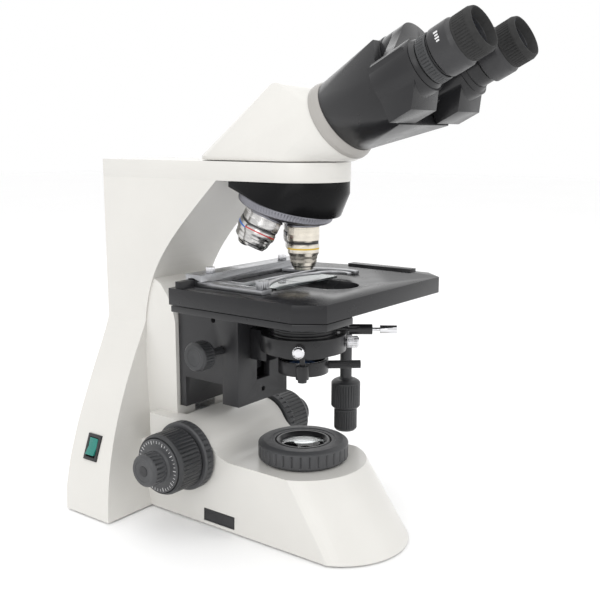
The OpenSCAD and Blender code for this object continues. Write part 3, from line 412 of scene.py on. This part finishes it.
def ring_stack(name, profile, matrix, materials, body, n=96, ribs=(), bands=(), steps=3):
    """A piece turned about Z, in millimetres. The profile is a closed outline of
    (radius, height, fillet). Ribs are (count, depth, low, high, least radius, sharpness).
    Bands are (low, high, least radius, material number)."""
    rings = fillet(profile, steps)
    for r in ribs:
        n = max(n, r[0] * 8)
    angle = np.arange(n) * 2 * math.pi / n
    verts, faces, which = [], [], []
    for r, z in rings:
        q = np.full(n, float(r))
        for count, depth, low, high, least, sharp in ribs:
            if low <= z <= high and r >= least:
                w = 0.5 - 0.5 * np.cos(count * angle)
                q = q - depth * (1 - np.minimum(1, w * sharp))
        verts += list(zip(q * np.cos(angle), q * np.sin(angle), np.full(n, z)))
    m = len(rings)
    for k in range(m):
        (r0, z0), (r1, z1) = rings[k], rings[(k + 1) % m]
        a, b = k * n, ((k + 1) % m) * n
        mid_z, mid_r = (z0 + z1) / 2, (r0 + r1) / 2
        number = 0
        for low, high, least, chosen in bands:
            if low <= mid_z <= high and mid_r >= least:
                number = chosen
        for i in range(n):
            j = (i + 1) % n
            faces.append((a + i, a + j, b + j, b + i))
            which.append(number)
    obj = make(name, verts, faces, MAT[materials[0]], matrix)
    for extra in materials[1:]:
        obj.data.materials.append(MAT[extra])
    if len(obj.data.polygons) == len(which):
        obj.data.polygons.foreach_set("material_index", which)
    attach(obj, body)
    return obj


def stands_for(obj, name):
    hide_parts(name)


def blocks(name, boxes, matrix, material, body, bevel):
    """Several small rounded bars in one piece; each is (centre, half sizes, turn about Z in degrees)."""
    verts, faces = [], []
    for c, h, turn in boxes:
        rot = Matrix.Rotation(math.radians(turn), 3, "Z")
        k = len(verts)
        for sx in (-1, 1):
            for sy in (-1, 1):
                for sz in (-1, 1):
                    p = rot @ (Vector(c) + Vector((sx * h[0], sy * h[1], sz * h[2])))
                    verts.append(p)
        faces += [(k, k + 1, k + 3, k + 2), (k + 4, k + 6, k + 7, k + 5), (k, k + 4, k + 5, k + 1),
                  (k + 2, k + 3, k + 7, k + 6), (k, k + 2, k + 6, k + 4), (k + 1, k + 5, k + 7, k + 3)]
    obj = make(name, verts, faces, MAT[material], matrix)
    mod = obj.modifiers.new("bevel", "BEVEL")
    mod.width = bevel * MM
    mod.segments = 2
    apply_modifiers(obj)
    shade(obj, 40)
    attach(obj, body)
    return obj


def ring_frame(node_name, direction):
    """Frame on the axis of a turned node, at the face that looks away from the direction."""
    lo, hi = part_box(node_name)
    c = (lo + hi) / 2
    d = Vector(direction)
    half = abs((hi - lo).dot(d)) / 2
    return frame_at(c - d * half, d, (0, 1, 0) if abs(d.x) > 0.5 else (1, 0, 0))


# field ring and its lens
m = frame_at(Vector((0, AXIS.y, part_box("field_ring")[0].z)), (0, 0, 1))
stands_for(ring_stack("field_ring_look", [
    (22.3, 0.2, 0.3), (33.2, 0.0, 0.5), (34.6, 1.6, 0.6), (35.5, 2.1, 0.3), (35.5, 3.0), (35.5, 3.6),
    (35.5, 11.6), (35.5, 12.2), (35.5, 12.9, 0.6), (34.2, 13.9, 0.6), (31.2, 15.2, 0.8),
    (25.6, 15.2, 0.3), (25.2, 14.6, 0.2), (22.3, 14.6, 0.3)],
    m, ["plastic_grey"], "field_ring", ribs=[(32, 1.25, 3.5, 11.7, 35, 5.0)]), "field_ring")
m = frame_at(Vector((0, AXIS.y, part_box("field_lens_tube")[0].z)), (0, 0, 1))
top = span("field_lens_tube").z / MM
stands_for(ring_stack("field_lens_tube_look", [
    (15, 0), (24, 0, 0.4), (24, 18.4, 0.3), (22, 18.9, 0.2), (22, top - 1.4, 0.5), (21, top, 0.6),
    (19.4, top, 0.3), (17.15, top - 2.2, 0.2), (17.15, top - 4.4, 0.1), (15, top - 4.4, 0.2)],
    m, ["black_paint"], "stand"), "field_lens_tube")

# focus knobs; every fourth tick of the fine scale is long
TICKS = 40
SCALE_R = 20.1
for side, word in ((-1, "left"), (1, "right")):
    out = (side, 0, 0)
    ring = "tension_ring" if side < 0 else "limit_ring"
    m = ring_frame(ring, out)
    w = span(ring).x / MM
    stands_for(ring_stack(ring + "_look", [
        (9.3, 0, 0.2), (26.6, 0, 0.4), (27.6, 0.9, 0.4), (27.7, 1.5), (27.7, 2.0), (27.7, w - 2.0),
        (27.7, w - 1.5), (27.6, w - 0.9, 0.4), (26.4, w, 0.5), (22.2, w, 0.3), (22, w - 1.4, 0.2),
        (9.3, w - 1.4, 0.2)],
        m, ["plastic_grey"], ring, ribs=[(36, 1.1, 1.9, w - 1.9, 27, 3.4)]), ring)
    knob = "coarse_knob_" + word
    m = ring_frame(knob, out)
    w = span(knob).x / MM
    stands_for(ring_stack(knob + "_look", [
        (9.05, 0, 0.2), (22.8, 0, 0.5), (24.0, 1.0, 0.6), (24.2, 1.8), (24.2, 2.3), (24.2, w - 4.0),
        (24.2, w - 3.5), (24.1, w - 2.6, 0.5), (22.9, w, 0.8), (21.9, w, 0.25), (21.8, w - 4.9, 0.3),
        (9.05, w - 4.9, 0.2)],
        m, ["knob"], "coarse_focus", ribs=[(44, 0.75, 2.2, w - 3.9, 24, 3.2)]), knob)
    fine = "fine_knob_" + word
    m = ring_frame(fine, out)
    w = span(fine).x / MM
    stands_for(ring_stack(fine + "_look", [
        (4, 0, 0.1), (20.6, 0, 0.4), (21.3, 0.8, 0.3), (21.3, 2.7, 0.4), (20.4, 3.4, 0.4),
        (14.6, 3.6, 0.5), (12.6, 4.6, 0.8), (12.9, 6.2), (12.9, 6.8), (12.9, w - 3.6), (12.9, w - 3.0),
        (12.5, w - 1.6, 0.7), (11.0, w, 0.8), (8.6, w, 0.3), (8.2, w - 0.5, 0.3), (4, w - 0.5, 0.1)],
        m, ["plastic_grey"], "fine_focus", ribs=[(22, 1.1, 6.7, w - 3.5, 12.8, 2.6)]), fine)
    cap_r = 4.2
    cap = [(0.01, w - 0.7), (cap_r, w - 0.7, 0.2), (cap_r, w - 0.15, 0.25), (0.01, w, 0.1)]
    ring_stack(fine + "_cap", cap, m, ["plastic"], "fine_focus", n=48)
    ticks = []
    for i in range(TICKS):
        half, half_width = (1.7, 0.26) if i % 4 == 0 else (1.0, 0.18)
        ticks.append(((SCALE_R - half, 0, 3.42), (half, half_width, 0.09), i * 360 / TICKS))
    blocks(fine + "_scale", ticks, m, "white_mark", "fine_focus", 0.03)

# drop-down stage controls
knob = "stage_drive_knob_y"
m = frame_at(Vector((centre(knob).x, centre(knob).y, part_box(knob)[0].z)), (0, 0, 1))
h = span(knob).z / MM
stands_for(ring_stack(knob + "_look", [
    (2.6, 0, 0.1), (11.2, 0, 0.5), (12.2, 1.0, 0.6), (12.4, 1.6), (12.4, 2.1), (12.4, 20.6),
    (12.4, 21.1), (12.2, 22.0, 0.5), (11.0, 23.2, 0.8), (9.0, 24.4, 0.8), (6.6, 24.9, 0.6),
    (5.0, 26.4, 0.8), (5.0, h, 0.2), (2.6, h, 0.1)],
    m, ["knob"], "stage_knob_y", ribs=[(32, 0.6, 2.0, 20.7, 12.3, 3.0)]), knob)
knob = "stage_drive_knob_x"
m = frame_at(Vector((centre(knob).x, centre(knob).y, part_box(knob)[0].z)), (0, 0, 1))
h = span(knob).z / MM
stands_for(ring_stack(knob + "_look", [
    (0.01, 0.5, 0.1), (6.4, 0.5, 0.4), (7.0, 0, 0.3), (8.2, 0, 0.4), (9.5, 1.5, 0.6), (9.8, 2.2),
    (9.8, 2.7), (9.8, 17.4), (9.8, 17.9), (9.6, 18.8, 0.5), (8.8, 20, 0.5), (2.5, 20, 0.2),
    (2.5, h, 0.1), (0.01, h)],
    m, ["knob"], "stage_knob_x", ribs=[(28, 0.55, 2.6, 17.5, 9.7, 3.0)]), knob)

# condenser knob: the shaft with a grip at each end
lo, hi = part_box("condenser_knob")
pivot = Vector(JOINTS["condenser_knob_turn"]["pos_m"])
m = frame_at(Vector((lo.x, pivot.y, pivot.z)), (1, 0, 0), (0, 1, 0))
w = (hi.x - lo.x) / MM
stands_for(ring_stack("condenser_knob_look", [
    (0.01, 0.5, 0.1), (6.5, 0.5, 0.3), (7.2, 0.0, 0.3), (9.9, 0.0, 0.5), (11.2, 1.5, 0.6), (11.5, 2.2),
    (11.5, 2.7), (11.5, 10.6), (11.5, 11.1), (11.3, 12.4, 0.5), (10.6, 13.4, 0.5), (5.2, 13.4, 0.4),
    (4.6, 15.2, 0.5), (3, 16, 0.3), (3, w - 9.2, 0.2), (8.6, w - 9.2, 0.4), (9.4, w - 8.2, 0.3),
    (9.5, w - 7.6), (9.5, w - 7.1), (9.5, w - 2.2), (9.5, w - 1.7), (9.2, w - 0.8, 0.4), (8.2, w, 0.4),
    (0.01, w)],
    m, ["knob"], "condenser_knob",
    ribs=[(28, 0.6, 2.6, 10.7, 11.4, 3.0), (24, 0.5, w - 7.2, w - 2.1, 9.45, 3.0)]), "condenser_knob")

# brightness dial
dial = "brightness_dial"
lo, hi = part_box(dial)
pivot = Vector(JOINTS["brightness_turn"]["pos_m"])
m = frame_at(Vector((lo.x, pivot.y, pivot.z)), (1, 0, 0), (0, 1, 0))
w = (hi.x - lo.x) / MM
stands_for(ring_stack(dial + "_look", [
    (0.01, 0), (4, 0, 0.2), (4, w - 9.6, 0.1), (10.4, w - 9.6, 0.3), (11, w - 8.8, 0.3), (11, w - 8.2),
    (11, w - 7.8), (11, w - 2.2), (11, w - 1.8), (10.7, w - 0.9, 0.4), (9.6, w, 0.5), (7.2, w, 0.3),
    (6.6, w - 0.7, 0.3), (0.01, w - 0.7)],
    m, ["knob"], "brightness_dial", ribs=[(26, 0.8, w - 7.9, w - 2.1, 10.9, 3.0)]), dial)

# turret; its cone rises by SLOPE, so it lies level over the objective in use
turret_joint = JOINTS["turret_turn"]
TURRET = frame_at(Vector(turret_joint["pos_m"]), turret_joint["axis"])
TURRET_TILT = 18
SEAT_R = 20
SLOPE = math.tan(math.radians(TURRET_TILT))
stands_for(ring_stack("turret_look", [
    (0.01, -12 * SLOPE), (8, -12 * SLOPE, 0.8), (14, -6 * SLOPE, 0.4), (31.0, 11.0 * SLOPE, 0.5),
    (31.6, 11.0 * SLOPE + 0.5, 0.3), (35.8, 15.4 * SLOPE + 0.3, 0.4), (36.9, 16.9 * SLOPE + 0.9, 0.4),
    (37, 16.9 * SLOPE + 1.5), (37, 16.9 * SLOPE + 1.9), (37, 10.4), (37, 10.8), (36.9, 11.6, 0.4),
    (36.2, 12.9, 0.3), (31.8, 12.9, 0.3), (31.8, 15.9, 0.2), (6.0, 16, 0.2), (6.0, 26.4, 0.2),
    (0.01, 26.4)],
    TURRET, ["turret_metal"], "turret", n=144,
    ribs=[(96, 0.35, 16.9 * SLOPE + 1.8, 10.5, 36.95, 2.2)]), "turret")

# objectives: seat number, drop below the seat, radius of the nose, band and barrel
OBJECTIVES = {
    "objective_4x": (3, 25, 7.5, "red_mark", "objective_metal"),
    # the 10x barrel takes the metal whose warm tint is a painted warm reflection
    "objective_10x": (0, 34, 7, "yellow_mark", "metal_painted_warm_reflection"),
    "objective_40x": (2, 36.5, 5, "blue_mark", "objective_metal"),
    "objective_100x": (1, 36.5, 4.5, "white_mark", "objective_metal"),
}
for name, (seat, drop, nose, mark, barrel) in OBJECTIVES.items():
    m = TURRET @ Matrix.Rotation(math.radians(90 * seat), 4, "Z")
    m = m @ Matrix.Translation((0, -SEAT_R, 0)) @ Matrix.Rotation(math.radians(180 - TURRET_TILT), 4, "X")
    ring_stack(name + "_collar", [
        (8.4, -1.6, 0.1), (11.2, -1.6, 0.3), (12.9, -0.2, 0.3), (12.9, 0.9, 0.3), (12.0, 1.2, 0.1),
        (8.4, 1.2, 0.1)],
        m, ["turret_metal"], "turret", n=72)
    prof = [
        (7, -4.5, 0.1), (10, -4.5, 0.3), (10, -0.2, 0.1), (11.5, 0.1, 0.3), (12, 0.8, 0.3), (12, 1.6),
        (12, 2.0), (12, 0.2 * drop), (12, 0.2 * drop + 0.4), (12, 0.26 * drop), (12, 0.335 * drop, 0.3),
        (11.45, 0.36 * drop, 0.2), (11.45, 0.42 * drop, 0.2), (12, 0.445 * drop, 0.3), (12, 0.5 * drop),
        (12, 0.535 * drop), (12, 0.61 * drop, 0.5), (10.7, 0.68 * drop, 0.4), (10.5, 0.74 * drop, 0.2),
        (10.1, 0.76 * drop, 0.2), (10.1, 0.82 * drop, 0.5), (nose + 1.7, 0.9 * drop, 0.4),
        (nose + 1.1, 0.93 * drop, 0.2), (nose, drop, 0.5), (nose * 0.66, drop, 0.2),
        (nose * 0.55, 0.97 * drop, 0.1), (nose * 0.55, 0.84 * drop, 0.1), (7, 0.8 * drop, 0.1)]
    obj = ring_stack(name + "_look", prof, m, [barrel, mark, "groove"], "turret", steps=2,
                     ribs=[(60, 0.3, 1.9, 0.2 * drop + 0.1, 11.9, 2.2)],
                     bands=[(0.5 * drop, 0.535 * drop, 11.8, 1), (0.365 * drop, 0.415 * drop, 11.2, 2),
                            (0.93 * drop - 0.9, 0.93 * drop, nose + 1, 2)])
    stands_for(obj, name)
    front = [(0.01, 0.955 * drop), (nose * 0.5, 0.955 * drop, 0.1), (nose * 0.54, 0.965 * drop, 0.1),
             (nose * 0.3, 0.985 * drop, 0.4), (0.01, 0.99 * drop)]
    ring_stack(name + "_front_lens", front, m, ["coated"], "turret", n=48)

# head ring; HEAD lies on the tilted axis of the tube, JOINT on the face of the ring
FOLD_OFFSET = 13.8
FOLD_HEIGHT = 60
fold = JOINTS["arm_right_fold"]
HEAD = frame_at(Vector(fold["pos_m"]), fold["axis"]) @ Matrix.Translation((0, -FOLD_OFFSET, -FOLD_HEIGHT))
JOINT = HEAD @ Matrix.Translation((0, 5, -17)) @ Matrix.Rotation(math.radians(-5), 4, "X")
stands_for(ring_stack("head_ring_look", [
    (20, -9, 0.2), (29.8, -9, 0.4), (30.6, -8.2, 0.5), (30.6, -5.4, 0.6), (29.6, -2.2, 1.5),
    (28.6, -0.1, 0.4), (20, -0.1, 0.2)], JOINT, ["grey_paint"], "head", n=144), "head_ring")

# eyepieces with rolled eyecups, and the dioptre ring
EYE_HALF = 31
EYE_OFFSET = -4.5
EYE_HEIGHT = 68
tip = 44
for side, word in ((-1, "left"), (1, "right")):
    m = HEAD @ Matrix.Translation((side * EYE_HALF, EYE_OFFSET, EYE_HEIGHT))
    piece = "eyepiece_" + word
    obj = ring_stack(piece + "_look", [
        (9.5, -8, 0.2), (11.6, -8, 0.3), (11.6, 12.6, 0.1), (15.2, 12.6, 0.4), (16.3, 13.5, 0.6),
        (16.4, 15), (16.4, 26.6, 0.4), (16.0, 27.6, 0.4), (15.2, 29.0, 0.4), (15.0, 29.5, 0.2),
        (15.4, 30.2, 0.3), (15.4, 31.0), (15.4, 31.3), (15.4, 39.6), (15.4, 39.9), (15.4, 40.8, 0.4),
        (15.1, 41.6, 0.5), (14.6, 42.9, 0.7), (14.1, tip, 0.6), (13.1, tip, 0.4), (11.3, 38.4, 0.8),
        (11.05, 37.8), (11.05, 30), (9.5, 30)],
        m, ["eyepiece_shell", "rubber"], piece, steps=4,
        ribs=[(48, 0.4, 31.2, 39.7, 15.35, 2.4)],
        bands=[(29.5, tip + 1, 11.2, 1)])
    stands_for(obj, piece)
    marks = [((16.36, -5.0 + 1.9 * i, 0), (0.12, 0.55, 1.5 - 0.35 * (i % 2)), 0) for i in range(4)]
    turn = Matrix.Rotation(math.radians(168), 4, "Z")
    blocks(piece + "_mark", marks, m @ Matrix.Translation((0, 0, 20.5)) @ turn, "white_mark", piece, 0.05)
m = HEAD @ Matrix.Translation((-EYE_HALF, EYE_OFFSET, EYE_HEIGHT))
stands_for(ring_stack("dioptre_ring_look", [
    (14.6, 3.6, 0.2), (15.6, 3.6, 0.3), (16.1, 4.2, 0.3), (16.2, 4.7), (16.2, 5.1), (16.2, 9.7),
    (16.2, 10.1), (16.1, 10.6, 0.3), (15.5, 11.2, 0.4), (14.6, 11.2, 0.2)],
    m, ["knob"], "dioptre_ring", ribs=[(44, 0.5, 5.0, 9.8, 16.1, 2.6)]), "dioptre_ring")


# ---------- pieces that keep their CAD shape ----------

# Material, and edge rounding in millimetres. A rounding of 0 leaves the mesh as it is.
LOOK = {
    "stand_casting": ("enamel", 0), "base_plate": ("steel", 0.3), "rubber_feet": ("rubber", 0.3),
    "top_plate": ("enamel", 1.2), "name_badge": ("plastic", 0.3), "field_lens": ("lens", 0),
    "lamp_mirror": ("mirror", 0.3), "lamp_socket": ("ceramic", 0.3), "lamp_bulb": ("bulb", 0),
    "power_bezel": ("plastic", 0.4), "power_rocker": ("green", 0.4), "power_inlet": ("plastic", 0.4),
    "circuit_board": ("board", 0.2), "coarse_shaft": ("steel", 0), "fine_shaft": ("steel", 0.2),
    "focus_slide": ("steel", 0), "stage_bracket": ("crinkle", 1), "stage_base": ("black_paint", 0.6),
    "stage_top": ("stage_coat", 0.8), "slide_carriage": ("nickel", 0.4),
    "slide_holder_screws": ("chrome", 0.2), "slide_finger": ("nickel", 0.3),
    "glass_slide": ("slide_glass", 0), "condenser_carrier": ("black_paint", 0.5),
    "condenser_body": ("black_paint", 0.5), "condenser_lens": ("lens", 0),
    "condenser_iris": ("black_paint", 0.3), "condenser_screws": ("chrome", 0.2),
    "filter_holder": ("black_paint", 0.4), "filter_glass": ("blue_filter", 0),
    "nosepiece_shell": ("shell_paint", 1.5), "head_housing": ("enamel", 1.5),
    "head_screw": ("steel", 0.2), "tube_body": ("black_paint", 1), "fold_axle": ("steel", 0.3),
    "prism_arm_left": ("black_paint", 1), "prism_arm_right": ("black_paint", 1),
    "eye_lens_left": ("coated", 0), "eye_lens_right": ("coated", 0),
}
dressed_pieces = {}
for name, (material, width) in LOOK.items():
    if width > 0:
        dressed_pieces[name] = dressed(name, material, width)
    else:
        keep(name, material)

# plated tip of the iris lever
TIP_START = 53.5
iris = dressed_pieces["condenser_iris"].data
iris.materials.append(MAT["chrome"])
for face in iris.polygons:
    if math.hypot(face.center.x, face.center.y - AXIS.y) > TIP_START * MM:
        face.material_index = 1
